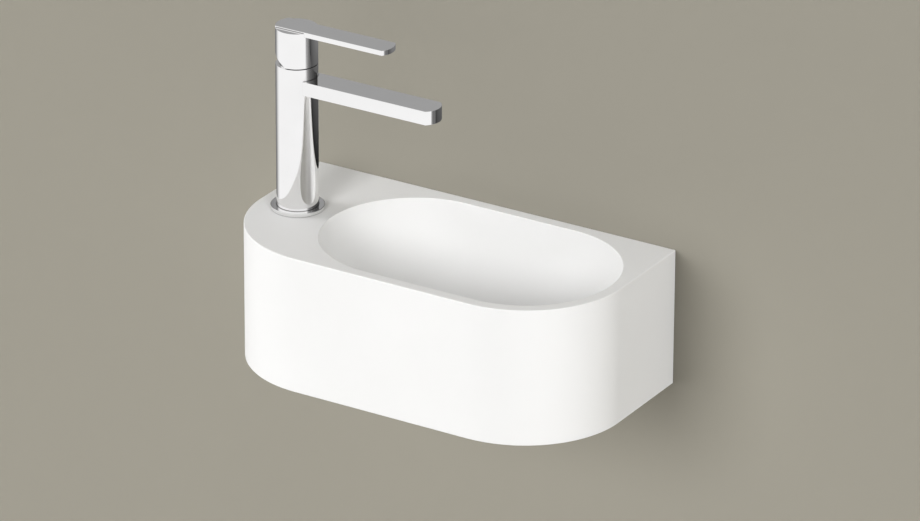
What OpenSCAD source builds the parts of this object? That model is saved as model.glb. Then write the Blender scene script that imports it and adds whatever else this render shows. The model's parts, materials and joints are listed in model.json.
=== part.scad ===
// Wall-hung washbasin with a single-lever mixer tap.
// Origin: midway between the two wall bolts, on the wall's surface.
// +X runs right along the wall, +Y into the wall, +Z up. Lengths are in millimetres.

/* [Basin] */
// Width of the basin along the wall
basin_w = 345; // [300:1:500]
// Distance from the wall to the front of the basin
basin_d = 180; // [176:1:210]
// Height of the basin
basin_h = 120; // [112:1:160]
// Radius of the two front corners, seen from above
corner_r = 90; // [80:1:92]
// Thickness of the outer wall at the sides and the front
skirt_t = 10; // [7:0.5:12]
// Thickness of the back wall
back_t = 10; // [8:0.5:14]
// Thickness of the deck that carries the tap
deck_t = 12; // [8:0.5:18]

/* [Bowl] */
// Width of the rim in front of the bowl and to its right
rim_w = 10; // [8:0.5:14]
// Width of the rim between the bowl and the wall
rear_rim_w = 10; // [8:0.5:16]
// Width of the deck to the left of the bowl
tap_deck_w = 71; // [69:1:100]
// Depth of the bowl
bowl_depth = 80; // [68:1:86]
// Radius of the bulge of the bowl's wall, seen in section
bowl_wall_r = 160; // [130:5:400]
// Radius between the wall and the floor of the bowl
bowl_floor_r = 60; // [40:1:64]
// Thickness of the shell under the bowl
shell_t = 10; // [8:0.5:12]

/* [Wall fixing] */
// Height of the deck above the wall bolts
bolt_drop = 60; // [50:1:72]
// Distance from each side of the basin to its wall bolt
bolt_inset = 32.5; // [29:0.5:46]
// Diameter of the wall bolts inside the basin
bolt_d = 8; // [6:1:10]
// Diameter of the bolts' thread inside the wall
bolt_wall_d = 10; // [8.5:0.5:12]
// Length of the bolts inside the wall
bolt_wall_l = 55; // [40:1:80]
// Length of a bolt that stands past its nut
bolt_tail_l = 5; // [2:0.5:8]
// Diameter of the sleeve round each bolt
sleeve_d = 13.6; // [12:0.1:18]
// Diameter of the sleeve's flange
sleeve_flange_d = 22; // [20:0.5:25]
// Thickness of the sleeve's flange
sleeve_flange_t = 2; // [1:0.5:3]
// Diameter of the bolt's washer
bolt_washer_d = 24; // [18:0.5:26]
// Thickness of the bolt's washer
bolt_washer_t = 1.6; // [1:0.1:2.5]
// Width across the flats of the bolt's nut
bolt_nut_af = 13; // [13:1:17]
// Thickness of the bolt's nut
bolt_nut_t = 6.5; // [5:0.5:8]
// Diameter of the pad round each bolt hole inside the back wall
bolt_boss_d = 28; // [26:1:32]
// Thickness of that pad
bolt_boss_t = 6; // [2:0.5:8]

/* [Waste] */
// Diameter of the drain hole in the bowl
drain_d = 45; // [43:0.5:48]
// Depth of the recess for the waste's flange
drain_recess_depth = 3; // [2.6:0.1:4]
// Thickness of the bowl that the waste clamps, below the recess
drain_clamp_t = 11; // [8:0.5:14]
// Diameter of the pad under the drain
drain_boss_d = 72; // [68:1:84]
// Diameter of the waste's flange
waste_flange_d = 63.6; // [58:0.2:66]
// Thickness of the waste's flange
waste_flange_t = 2.2; // [1.6:0.1:2.6]
// Outer diameter of the waste's threaded tail
waste_tail_d = 41.9; // [38:0.1:42.4]
// Bore of the waste
waste_bore_d = 34; // [30:0.5:36]
// Depth of the groove where the tail's upper thread ends, below the nut
waste_groove_depth = 1; // [0.5:0.1:1.4]
// Width of that groove
waste_groove_w = 2; // [1.5:0.1:3]
// Length of the waste below the top of its flange
waste_l = 76; // [66:1:90]
// Thickness of the gasket under the flange
top_gasket_t = 1.2; // [0.8:0.1:1.6]
// Thickness of the gasket under the bowl
under_gasket_t = 4; // [2.5:0.5:5]
// Thickness of the slip washer
slip_washer_t = 1.5; // [1:0.1:2]
// Width across the flats of the waste's nut
waste_nut_af = 52; // [50:1:56]
// Thickness of the waste's nut
waste_nut_t = 8; // [6:0.5:10]
// Diameter of the cap
cap_d = 55; // [46:1:58]
// Thickness of the cap at its edge
cap_edge_t = 1.6; // [1.2:0.1:3]
// Rise of the cap's dome
cap_rise = 3; // [1.5:0.1:5]
// Gap for the water between the flange and the cap
cap_gap = 5; // [3:0.5:6]
// Diameter of the cap's stem
cap_stem_d = 8; // [6:0.5:9]
// Length of the cap's stem
cap_stem_l = 46; // [40:1:52]
// Diameter of the spider's hub
hub_d = 13; // [12:0.5:16]
// Height of the spider's hub
hub_h = 8; // [6:0.5:12]
// Thickness of the spider's arms
arm_t = 2.5; // [2:0.1:4]

/* [Tap column and spout] */
// Distance from the basin's left side to the column's axis
tap_inset = 36; // [34:0.5:38]
// Distance from the wall to the column's axis
tap_wall_inset = 90; // [70:1:100]
// Diameter of the column and of the handle's head
column_d = 35.3; // [34.6:0.1:37]
// Height of the fixed column above the deck
column_h = 129.4; // [110:0.2:180]
// Distance from the column's axis to the spout's tip
spout_l = 137.1; // [110:0.1:160]
// Width of the spout
spout_w = 24; // [23.6:0.2:29.6]
// Thickness of the spout
spout_t = 12; // [11.6:0.2:16]
// Distance from the column's top down to the spout's top face
spout_drop = 10.4; // [9.6:0.1:12]
// Radius of the spout's rounded tip, seen from above
spout_tip_r = 15; // [15:0.5:40]
// Diameter of the base ring
ring_d = 45.5; // [44:0.1:47]
// Height of the base ring
ring_h = 3.4; // [2.8:0.1:5]
// Thickness of the ring's floor under the column
ring_floor_t = 1.4; // [1:0.1:1.8]
// Section of the O-ring under the base ring
base_oring_d = 1.6; // [1.2:0.1:1.8]
// Radius of the spout's waterway
way_r = 3.4; // [2.5:0.1:4]

/* [Tap fixing] */
// Diameter of the tap hole in the deck
tap_hole_d = 35; // [32:0.5:36]
// Diameter of the pocket in the column's foot
foot_pocket_d = 27; // [26:0.5:28]
// Depth of that pocket
foot_pocket_h = 8; // [4:0.5:12]
// Bore of each supply inlet
inlet_d = 9; // [8:0.1:9.4]
// Depth of each supply inlet
inlet_l = 11; // [8:0.5:14]
// Diameter of the fixing stud
stud_d = 8; // [6:0.5:8]
// Distance from the column's axis to the stud
stud_offset = 9; // [8.5:0.1:9.2]
// Length of the stud inside the column
stud_grip_l = 14; // [10:1:20]
// Length of the stud below its nut
stud_tail_l = 24; // [10:1:30]
// Diameter of the horseshoe washer and gasket
shoe_d = 42; // [40:0.5:43]
// Thickness of the horseshoe gasket
shoe_gasket_t = 2.5; // [1.5:0.5:4]
// Thickness of the horseshoe washer
shoe_washer_t = 2; // [1.5:0.1:3]
// Width across the flats of the stud's nut
stud_nut_af = 13; // [12:0.5:14]
// Length of the stud's nut
stud_nut_l = 15; // [8:1:20]

/* [Aerator] */
// Diameter of the hole for the aerator
aerator_d = 18.4; // [17:0.1:19]
// Depth of that hole
aerator_h = 7.4; // [6.6:0.1:8]
// Distance from the spout's tip to the aerator's axis
aerator_inset = 14; // [13:0.5:20]
// Wall of the aerator's housing
aerator_wall = 1.5; // [1:0.1:2]

/* [Cartridge] */
// Diameter of the cartridge
cartridge_d = 25; // [24.6:0.1:25.4]
// Bore of the thread for the ring nut
nut_bore_d = 29.6; // [29.2:0.1:30]
// Thickness of each ceramic disc
disc_t = 2.2; // [1.8:0.1:2.4]
// Diameter of the fixed disc
fixed_disc_d = 21.8; // [21.2:0.1:22]
// Diameter of the moving disc
moving_disc_d = 18.4; // [17:0.1:18.6]
// Thickness of the disc carrier
carrier_t = 2.6; // [2.2:0.1:2.8]
// Distance of the supply ports from the axis along X
port_x = 4.5; // [4:0.1:4.8]
// Distance of the supply ports from the axis along Y
port_y = 5.8; // [5.4:0.1:5.9]
// Distance of the outlet port from the axis
outlet_x = 6; // [5:0.1:6.4]
// Radius of the ports
port_r = 2; // [1.5:0.1:2.1]
// Diameter of the rotor
rotor_d = 18.8; // [18:0.1:19]
// Diameter of the pivot pin
pin_d = 2.5; // [2:0.1:2.8]
// Thickness of the spindle along X
spindle_t = 6; // [5:0.1:6.2]
// Width of the spindle along Y
spindle_w = 7; // [6:0.1:7.2]
// Radius of the ball at the spindle's lower end
ball_r = 1.5; // [1.2:0.1:1.6]
// Outer radius of the ball-shaped cover
dome_r = 14.3; // [14.2:0.05:14.5]

/* [Handle] */
// Gap between the column and the head
seam_gap = 0.8; // [0.5:0.1:1.5]
// Height of the head
head_h = 31; // [28:0.5:40]
// Wall of the head
head_wall = 2.75; // [2.4:0.05:2.8]
// Angle that the lever tilts up by
tilt_deg = 25; // [15:1:26]
// Slope of the relief behind the head
relief_deg = 32; // [30:1:40]
// Distance from the axis to the lever's tip
lever_l = 92.5; // [70:0.5:120]
// Width of the lever
lever_w = 21; // [18:0.5:28]
// Thickness of the lever
lever_t = 4.3; // [3:0.1:7]
// Height of the lever's top above the head
lever_proud = 1.2; // [0.4:0.1:2.5]
// Radius of the lever's rounded tip, seen from above
lever_tip_r = 16.5; // [14.5:0.5:40]
// Diameter of the grub screw
grub_d = 4; // [3:0.5:5]
// Diameter of the screw's cap
screw_cap_d = 5; // [5:0.5:6]
// Length of the screw's cap
screw_cap_l = 3; // [2:0.5:4]

/* [Clearances] */
// Radial gap of nominal threads and seated round pieces
seat_gap = 0.1; // [0.05:0.05:0.15]
// Radial gap of pieces that turn or slide in each other
run_gap = 0.1; // [0.05:0.05:0.15]
// Gap of pieces that pass each other freely
free_gap = 0.3; // [0.2:0.1:0.4]

/* [Hidden] */
$fn = 96;

// How far a cut runs past the face that it opens
over = 1;

// Heights and places of the basin
deck_z = bolt_drop;
base_z = deck_z - basin_h;
corner_y = corner_r - basin_d;
bowl_r = (basin_d - rim_w - rear_rim_w) / 2;
bowl_y = -rear_rim_w - bowl_r;
bowl_right_x = basin_w / 2 - rim_w - bowl_r;
bowl_left_x = -basin_w / 2 + tap_deck_w + bowl_r;
drain_x = (bowl_left_x + bowl_right_x) / 2;

// Section of the bowl: the wall's arc meets the floor's arc at meet_deg below the deck
wall_cx = bowl_r - bowl_wall_r;
floor_cz = bowl_floor_r - bowl_depth;
floor_cx = wall_cx + sqrt(pow(bowl_wall_r - bowl_floor_r, 2) - pow(floor_cz, 2));
meet_deg = atan2(-floor_cz, floor_cx - wall_cx);

// Wall fixing, along local Z with the wall's surface at zero
bolt_x = basin_w / 2 - bolt_inset;
bolt_r = bolt_d / 2;
sleeve_z = -back_t - bolt_boss_t;
bolt_washer_z = sleeve_z - sleeve_flange_t - bolt_washer_t;
bolt_nut_z = bolt_washer_z - bolt_nut_t;
bolt_end_z = bolt_nut_z - bolt_tail_l;
bolt_point_l = 10;
bolt_point_r = 0.6;

// Waste, from the bowl's floor down
seat_z = deck_z - bowl_depth - drain_recess_depth;
flange_z = seat_z + top_gasket_t;
flange_top_z = flange_z + waste_flange_t;
boss_z = seat_z - drain_clamp_t;
waste_nut_z = boss_z - under_gasket_t - slip_washer_t - waste_nut_t;
waste_tail_z = flange_top_z - waste_l;
cap_z = flange_top_z + cap_gap;
hub_drop = 8;
hub_top_z = flange_z - hub_drop;
stem_r = cap_stem_d / 2;
stem_groove_depth = 1.2;
stem_groove_r = stem_r - stem_groove_depth;
stem_ring_r = 0.65;
stem_gap = 0.25;
waste_ring_inset = 1;

// Tap column
tap_x = -basin_w / 2 + tap_inset;
tap_y = -tap_wall_inset;
column_r = column_d / 2;
foot_z = deck_z + ring_floor_t;
pocket_z = foot_z + foot_pocket_h;
column_top_z = deck_z + column_h;
spout_z = column_top_z - spout_drop - spout_t;
way_z = spout_z + spout_t / 2;
aerator_x = spout_l - aerator_inset;
stud_r = stud_d / 2;
stud_hole_r = stud_r + seat_gap / 2;
shoe_z = deck_z - deck_t;
stud_nut_z = shoe_z - shoe_gasket_t - shoe_washer_t - stud_nut_l;
ring_seat_r = column_r + seat_gap;
ring_lip = 1.2;
ring_groove_r = ring_d / 2 - ring_lip;
ring_groove_w = base_oring_d + seat_gap;

// Cartridge, from the floor of its chamber up
cartridge_r = cartridge_d / 2;
chamber_floor_t = 2.1;
chamber_z = way_z + way_r + chamber_floor_t;
chamber_r = cartridge_r + 2 * seat_gap;
seal_stand = 0.5;
seal_groove = 0.7;
seal_lip = 1.3;
seal_r = port_r + seal_lip;
seal_w = 1.1;
base_plate_t = 1.6;
housing_wall = 1.3;
housing_in_r = cartridge_r - housing_wall;
base_plate_z = chamber_z + seal_stand;
fixed_disc_z = base_plate_z + base_plate_t;
moving_disc_z = fixed_disc_z + disc_t;
carrier_z = moving_disc_z + disc_t;
carrier_top_z = carrier_z + carrier_t;
rotor_z = carrier_top_z + free_gap;
rotor_flange_t = 0.7;
rotor_flange_r = housing_in_r - free_gap;
rotor_r = rotor_d / 2;
roof_z = rotor_z + rotor_flange_t + free_gap;
roof_t = 1;
turret_r = rotor_r + run_gap + housing_wall;
step_h = 2.5;
step_z = chamber_z + step_h;
shoulder_t = 2;
nut_z = step_z + shoulder_t;
nut_h = 5;
nut_bore_r = nut_bore_d / 2;
nut_in_r = cartridge_r + 2 * seat_gap;

// Handle
head_z = column_top_z + seam_gap;
head_top_z = head_z + head_h;
head_in_r = column_r - head_wall;
pivot_rise = 3.8;
pivot_z = head_z + pivot_rise;
ball_rise = 2;
ball_z = carrier_z + ball_rise;
disc_travel = (pivot_z - ball_z) * tilt_deg * PI / 180;
dome_t = 1;
dome_in_r = dome_r - dome_t;
turret_rise = 6.5;
turret_top_z = pivot_z + turret_rise;
top_step = 0.5;
rotor_top_z = turret_top_z + top_step;
dome_top_z = rotor_top_z + top_step;
ceiling_rise = 14;
ceiling_z = pivot_z + ceiling_rise;
socket_h = 8.5;
spindle_top_z = ceiling_z + socket_h;
grub_rise = 4.5;
grub_z = ceiling_z + grub_rise;
lever_z = head_top_z + lever_proud - lever_t;
slot_back = (rotor_top_z - pivot_z) * tan(tilt_deg) + spindle_t / 2 / cos(tilt_deg) + free_gap;
slot_play = 2;
slot_front = spindle_t / 2 + slot_play;
slot_half_w = spindle_w / 2 + run_gap;
neck_r = 1;
press_gap = 0.02;

// A ring or tube standing on height z
module tube(r_out, r_in, z, h) {
    difference() {
        translate([0, 0, z]) cylinder(r = r_out, h = h);
        translate([0, 0, z - over]) cylinder(r = r_in, h = h + 2 * over);
    }
}

// A round bar standing on height z
module rod(r, z, h) {
    translate([0, 0, z]) cylinder(r = r, h = h);
}

// A box between two corners
module block(low, high) {
    translate(low) cube(high - low);
}

// A hexagonal prism standing on height z, measured across its flats
module hexagon(af, z, h) {
    translate([0, 0, z]) cylinder(r = af / 2 / cos(30), h = h, $fn = 6);
}

module at_tap() {
    translate([tap_x, tap_y, 0]) children();
}

module at_drain() {
    translate([drain_x, bowl_y, 0]) children();
}

// Places at each wall bolt; local Z points into the wall
module at_bolts() {
    for (side = [-1, 1]) translate([side * bolt_x, 0, 0]) rotate([-90, 0, 0]) children();
}

// Plan of the basin, drawn in from its sides and front by side, and from the wall by back
module basin_plan(side, back) {
    translate([side - basin_w / 2, corner_y]) square([basin_w - 2 * side, -corner_y - back]);
    translate([corner_r - basin_w / 2, side - basin_d]) square([basin_w - 2 * corner_r, corner_r]);
    for (end = [-1, 1]) {
        translate([end * (basin_w / 2 - corner_r), corner_y]) circle(r = corner_r - side);
    }
}

// Half section of the bowl: X from its centre, Y up from the deck, cut past the deck's face
module bowl_section() {
    meet = [wall_cx + bowl_wall_r * cos(meet_deg), -bowl_wall_r * sin(meet_deg)];
    reach = 2 * bowl_wall_r;
    intersection() {
        translate([wall_cx, 0]) circle(r = bowl_wall_r);
        translate([0, meet[1]]) square([reach, -meet[1]]);
    }
    intersection() {
        translate([floor_cx, floor_cz]) circle(r = bowl_floor_r);
        polygon([[floor_cx, floor_cz], [floor_cx, -reach], [reach, -reach],
                 [floor_cx + reach, floor_cz - reach * tan(meet_deg)]]);
    }
    polygon([[0, 0], [0, -bowl_depth], [floor_cx, -bowl_depth], [floor_cx, floor_cz], meet, [meet[0], 0]]);
    square([bowl_r, over]);
}

// Half section of the shell round the bowl, from the middle of the deck down
module shell_section() {
    arc_r = bowl_depth + shell_t - deck_t;
    arc_x = bowl_r + shell_t - arc_r;
    intersection() {
        translate([arc_x, -deck_t]) circle(r = arc_r);
        translate([arc_x, -deck_t - arc_r]) square(arc_r);
    }
    translate([0, -deck_t - arc_r]) square([arc_x, arc_r]);
    translate([0, -deck_t]) square([arc_x + arc_r, deck_t / 2]);
}

// Sweeps a half section round the bowl's plan: two half turns with a straight run between them
module round_the_bowl() {
    translate([bowl_left_x, bowl_y, deck_z]) {
        rotate([0, 0, 90]) rotate_extrude(angle = 180) children();
        rotate([90, 0, 90]) linear_extrude(bowl_right_x - bowl_left_x) {
            children();
            mirror([1, 0]) children();
        }
        translate([bowl_right_x - bowl_left_x, 0, 0])
            rotate([0, 0, -90]) rotate_extrude(angle = 180) children();
    }
}

module basin_body() {
    color("whitesmoke") difference() {
        union() {
            difference() {
                translate([0, 0, base_z]) linear_extrude(basin_h) basin_plan(0, 0);
                translate([0, 0, base_z - over])
                    linear_extrude(basin_h - deck_t + over) basin_plan(skirt_t, back_t);
            }
            intersection() {
                round_the_bowl() shell_section();
                translate([0, 0, base_z]) linear_extrude(basin_h) basin_plan(skirt_t / 2, back_t / 2);
            }
            at_drain() rod(drain_boss_d / 2, boss_z, drain_clamp_t);
            at_bolts() rod(bolt_boss_d / 2, sleeve_z, back_t / 2 + bolt_boss_t);
        }
        round_the_bowl() bowl_section();
        at_drain() rod(waste_flange_d / 2 + 2 * free_gap, seat_z, bowl_depth);
        at_drain() rod(drain_d / 2, base_z, basin_h);
        at_tap() rod(tap_hole_d / 2, deck_z - deck_t - over, deck_t + 2 * over);
        at_bolts() rod(sleeve_d / 2 + seat_gap, sleeve_z - over, -sleeve_z + 2 * over);
    }
}

module hanger_bolts() {
    point_z = bolt_wall_l - bolt_point_l;
    color("silver") at_bolts() {
        rod(bolt_r, bolt_end_z, point_z - bolt_end_z);
        rod(bolt_wall_d / 2, 0, point_z);
        translate([0, 0, point_z]) cylinder(r1 = bolt_wall_d / 2, r2 = bolt_point_r, h = bolt_point_l);
    }
}

module bolt_sleeves() {
    color("gainsboro") at_bolts() difference() {
        union() {
            rod(sleeve_d / 2, sleeve_z, -sleeve_z - free_gap);
            rod(sleeve_flange_d / 2, sleeve_z - sleeve_flange_t, sleeve_flange_t);
        }
        rod(bolt_r + seat_gap, sleeve_z - sleeve_flange_t - over, -sleeve_z + sleeve_flange_t + 2 * over);
    }
}

module bolt_washers() {
    color("silver") at_bolts() tube(bolt_washer_d / 2, bolt_r + free_gap, bolt_washer_z, bolt_washer_t);
}

module bolt_nuts() {
    color("silver") at_bolts() difference() {
        hexagon(bolt_nut_af, bolt_nut_z, bolt_nut_t);
        rod(bolt_r + seat_gap, bolt_nut_z - over, bolt_nut_t + 2 * over);
    }
}

// The waste's flange, tail and spider are one casting
module waste_body() {
    bore_r = waste_bore_d / 2;
    tail_r = waste_tail_d / 2;
    mouth_t = (tail_r - bore_r) / 2;
    color("silver") at_drain() {
        difference() {
            union() {
                rod(tail_r, waste_tail_z, flange_top_z - waste_tail_z);
                rod(waste_flange_d / 2, flange_z, waste_flange_t);
            }
            rod(bore_r, waste_tail_z - over, waste_l + 2 * over);
            translate([0, 0, flange_top_z - mouth_t])
                cylinder(r1 = bore_r, r2 = bore_r + mouth_t + over, h = mouth_t + over);
            tube(tail_r + over, tail_r - waste_groove_depth, waste_nut_z - waste_groove_w, waste_groove_w);
        }
        difference() {
            union() {
                rod(hub_d / 2, hub_top_z - hub_h, hub_h);
                for (turn = [0, 120, 240]) rotate([0, 0, turn])
                    block([0, -arm_t / 2, hub_top_z - hub_h * 3 / 4],
                          [bore_r + mouth_t, arm_t / 2, hub_top_z - hub_h / 4]);
            }
            rod(stem_r + stem_gap, hub_top_z - hub_h - over, hub_h + 2 * over);
        }
    }
}

module waste_top_gasket() {
    color("dimgray") at_drain()
        tube(waste_flange_d / 2 - waste_ring_inset, drain_d / 2 + free_gap, seat_z, top_gasket_t);
}

module waste_under_gasket() {
    color("dimgray") at_drain()
        tube(waste_flange_d / 2, waste_tail_d / 2 + free_gap, boss_z - under_gasket_t, under_gasket_t);
}

module waste_slip_washer() {
    color("white") at_drain()
        tube(waste_flange_d / 2 - waste_ring_inset, waste_tail_d / 2 + free_gap,
             waste_nut_z + waste_nut_t, slip_washer_t);
}

module waste_nut() {
    color("darkkhaki") at_drain() difference() {
        hexagon(waste_nut_af, waste_nut_z, waste_nut_t);
        rod(waste_tail_d / 2 + seat_gap, waste_nut_z - over, waste_nut_t + 2 * over);
    }
}

// The cap and its stem lift out of the spider in one piece
module waste_cap() {
    cap_r = cap_d / 2;
    ball = (cap_r * cap_r + cap_rise * cap_rise) / 2 / cap_rise;
    ring_z = hub_top_z - hub_h / 2;
    color("silver") at_drain() difference() {
        union() {
            rotate_extrude() {
                translate([0, cap_z]) square([cap_r, cap_edge_t]);
                intersection() {
                    translate([0, cap_z + cap_edge_t + cap_rise - ball]) circle(r = ball, $fn = 8 * $fn);
                    translate([0, cap_z]) square([cap_r, cap_edge_t + cap_rise + over]);
                }
            }
            rod(stem_r, cap_z - cap_stem_l, cap_stem_l + cap_edge_t);
        }
        tube(stem_r + over, stem_groove_r, ring_z - stem_ring_r - seat_gap, 2 * (stem_ring_r + seat_gap));
    }
}

module waste_cap_oring() {
    color("black") at_drain() translate([0, 0, hub_top_z - hub_h / 2]) rotate_extrude()
        translate([stem_groove_r + stem_ring_r + seat_gap / 2, 0]) circle(r = stem_ring_r);
}

// Plan of a flat bar from the axis to its tip, whose arc meets the sides at corners
module bar_plan(length, width, tip_r) {
    tip_x = length - tip_r;
    translate([0, -width / 2]) square([tip_x, width]);
    intersection() {
        translate([0, -width / 2]) square([length, width]);
        translate([tip_x, 0]) circle(r = tip_r);
    }
}

// Places at the two supply ports
module at_ports() {
    for (side = [-1, 1]) translate([-port_x, side * port_y, 0]) children();
}

module tap_body() {
    color("silver") at_tap() difference() {
        union() {
            rod(column_r, foot_z, column_top_z - foot_z);
            translate([0, 0, spout_z]) linear_extrude(spout_t) bar_plan(spout_l, spout_w, spout_tip_r);
        }
        rod(foot_pocket_d / 2, foot_z - over, foot_pocket_h + over);
        at_ports() rod(inlet_d / 2, pocket_z - over, inlet_l + over);
        at_ports() rod(port_r, pocket_z, chamber_z - pocket_z + over);
        translate([stud_offset, 0, 0]) rod(stud_hole_r, pocket_z - over, stud_grip_l + over);
        rod(chamber_r, chamber_z, column_h);
        rod(nut_bore_r, step_z, column_h);
        translate([outlet_x, 0, 0]) rod(port_r, way_z, chamber_z - way_z + over);
        translate([outlet_x - port_r, 0, way_z]) rotate([0, 90, 0])
            cylinder(r = way_r, h = aerator_x - outlet_x + port_r);
        translate([aerator_x, 0, 0]) rod(aerator_d / 2, spout_z - over, aerator_h + over);
    }
}

module base_ring() {
    color("silver") at_tap() difference() {
        rod(ring_d / 2, deck_z, ring_h);
        rod(foot_pocket_d / 2 + free_gap, deck_z - over, ring_h + 2 * over);
        rod(ring_seat_r, foot_z, ring_h);
        tube(ring_groove_r, ring_groove_r - ring_groove_w, deck_z - over, ring_groove_w + over);
    }
}

module base_oring() {
    color("black") at_tap() translate([0, 0, deck_z + base_oring_d / 2]) rotate_extrude()
        translate([ring_groove_r - ring_groove_w / 2, 0]) circle(r = base_oring_d / 2);
}

module fixing_stud() {
    stud_z = stud_nut_z - stud_tail_l;
    color("silver") at_tap() translate([stud_offset, 0, 0])
        rod(stud_r, stud_z, pocket_z + stud_grip_l - free_gap - stud_z);
}

// Horseshoe plate that clamps the deck round the hoses
module horseshoe(z, h) {
    notch_r = 3;
    notch_x = 2;
    notch_w = foot_pocket_d - notch_r;
    translate([0, 0, z]) linear_extrude(h) difference() {
        circle(r = shoe_d / 2);
        translate([-shoe_d, -notch_w / 2]) square([shoe_d + notch_x - notch_r, notch_w]);
        translate([-shoe_d, notch_r - notch_w / 2]) square([shoe_d + notch_x, notch_w - 2 * notch_r]);
        for (side = [-1, 1])
            translate([notch_x - notch_r, side * (notch_w / 2 - notch_r)]) circle(r = notch_r);
        translate([stud_offset, 0]) circle(r = stud_r + free_gap);
    }
}

module stud_gasket() {
    color("dimgray") at_tap() horseshoe(shoe_z - shoe_gasket_t, shoe_gasket_t);
}

module stud_washer() {
    color("silver") at_tap() horseshoe(stud_nut_z + stud_nut_l, shoe_washer_t);
}

module stud_nut() {
    color("goldenrod") at_tap() translate([stud_offset, 0, 0]) difference() {
        hexagon(stud_nut_af, stud_nut_z, stud_nut_l);
        rod(stud_hole_r, stud_nut_z - over, stud_nut_l + 2 * over);
    }
}

// Aerator, set back from the spout's underside
aerator_recess = 0.4;
aerator_r = aerator_d / 2 - seat_gap;
aerator_seal_t = 1.3;
aerator_seal_w = 2.4;
aerator_lip = 0.8;
aerator_body_h = aerator_h - aerator_recess - aerator_seal_t;

module at_aerator() {
    at_tap() translate([aerator_x, 0, spout_z + aerator_recess]) children();
}

module aerator_housing() {
    color("silver") at_aerator() {
        tube(aerator_r, aerator_r - aerator_wall, 0, aerator_body_h);
        tube(aerator_r - aerator_wall / 2, aerator_r - aerator_wall - aerator_lip, 0, aerator_lip);
    }
}

module aerator_insert() {
    insert_r = aerator_r - aerator_wall - seat_gap;
    slot_w = 1.4;
    pitch = 2.2;
    slot_reach = 0.72 * insert_r;
    color("gainsboro") at_aerator() difference() {
        rod(insert_r, aerator_lip, aerator_body_h - aerator_lip);
        for (row = [-2:2]) block([-slot_reach, row * pitch - slot_w / 2, 0],
                                 [slot_reach, row * pitch + slot_w / 2, aerator_body_h / 2]);
    }
}

module aerator_seal() {
    color("black") at_aerator()
        tube(aerator_r, aerator_r - aerator_seal_w, aerator_body_h, aerator_seal_t);
}

// Cartridge: the housing's shoulder stands on the step in the column
module cartridge_housing() {
    color("ivory") at_tap() difference() {
        union() {
            rod(cartridge_r, base_plate_z, roof_z + roof_t - base_plate_z);
            rod(nut_bore_r - 2 * seat_gap, step_z, shoulder_t);
            rod(turret_r, roof_z, turret_top_z - roof_z);
        }
        rod(housing_in_r, base_plate_z - over, roof_z - base_plate_z + over);
        rod(rotor_r + run_gap, roof_z - over, turret_top_z - roof_z + 2 * over);
    }
}

module cartridge_base() {
    color("dimgray") at_tap() difference() {
        rod(housing_in_r - seat_gap, base_plate_z, base_plate_t);
        at_ports() rod(port_r, base_plate_z - over, base_plate_t + 2 * over);
        at_ports() rod(seal_r + seat_gap, base_plate_z - over, seal_groove + over);
        translate([outlet_x, 0, 0]) {
            rod(port_r, base_plate_z - over, base_plate_t + 2 * over);
            rod(seal_r + seat_gap, base_plate_z - over, seal_groove + over);
        }
    }
}

module port_seal() {
    tube(seal_r, seal_r - seal_w, chamber_z, seal_stand + seal_groove);
}

module cartridge_seals() {
    color("black") at_tap() {
        at_ports() port_seal();
        translate([outlet_x, 0, 0]) port_seal();
    }
}

module fixed_disc() {
    color("wheat") at_tap() difference() {
        rod(fixed_disc_d / 2, fixed_disc_z, disc_t);
        at_ports() rod(port_r, fixed_disc_z - over, disc_t + 2 * over);
        translate([outlet_x, 0, 0]) rod(port_r, fixed_disc_z - over, disc_t + 2 * over);
    }
}

// Ring nut with six notches for its spanner
module retaining_nut() {
    notch_w = 3;
    notch_h = 1.6;
    color("goldenrod") at_tap() difference() {
        tube(nut_bore_r - seat_gap, nut_in_r, nut_z, nut_h);
        for (turn = [0:60:300]) rotate([0, 0, turn])
            block([nut_in_r - over, -notch_w / 2, nut_z + nut_h - notch_h],
                  [nut_bore_r, notch_w / 2, nut_z + nut_h + over]);
    }
}

// Ball-shaped cover centred on the handle's pivot, so that the head clears it at any tilt
module cover_dome() {
    collar_z = nut_z + nut_h + seat_gap;
    color("silver") at_tap() difference() {
        union() {
            rod(nut_bore_r - seat_gap, collar_z, column_top_z - collar_z);
            intersection() {
                translate([0, 0, pivot_z]) sphere(r = dome_r);
                rod(dome_r, column_top_z, dome_top_z - column_top_z);
            }
        }
        intersection() {
            translate([0, 0, pivot_z]) sphere(r = dome_in_r);
            rod(dome_r, column_top_z, ceiling_z);
        }
        rod(cartridge_r + free_gap, collar_z - over, roof_z + roof_t + free_gap - collar_z + over);
    }
}

// The rotor turns in the turret and carries the handle's pivot pin
module cartridge_rotor() {
    color("white") at_tap() difference() {
        union() {
            rod(rotor_r, rotor_z, rotor_top_z - rotor_z);
            rod(rotor_flange_r, rotor_z, rotor_flange_t);
        }
        block([-slot_back, -slot_half_w, rotor_z - over], [slot_front, slot_half_w, rotor_top_z + over]);
        translate([0, rotor_r + over, pivot_z]) rotate([90, 0, 0])
            cylinder(r = pin_d / 2 + press_gap, h = 2 * (rotor_r + over));
    }
}

module pivot_pin() {
    pin_inset = 0.4;
    pin_half_l = rotor_r - pin_inset;
    color("gray") at_tap() translate([0, pin_half_l, pivot_z]) rotate([90, 0, 0])
        cylinder(r = pin_d / 2, h = 2 * pin_half_l);
}

// The moving disc starts half its travel behind the axis and ends as far in front
module moving_disc() {
    recess_r = 5.5;
    color("wheat") at_tap() translate([-disc_travel / 2, 0, 0]) difference() {
        rod(moving_disc_d / 2, moving_disc_z, disc_t);
        rod(recess_r, moving_disc_z - over, disc_t / 2 + over);
    }
}

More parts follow.
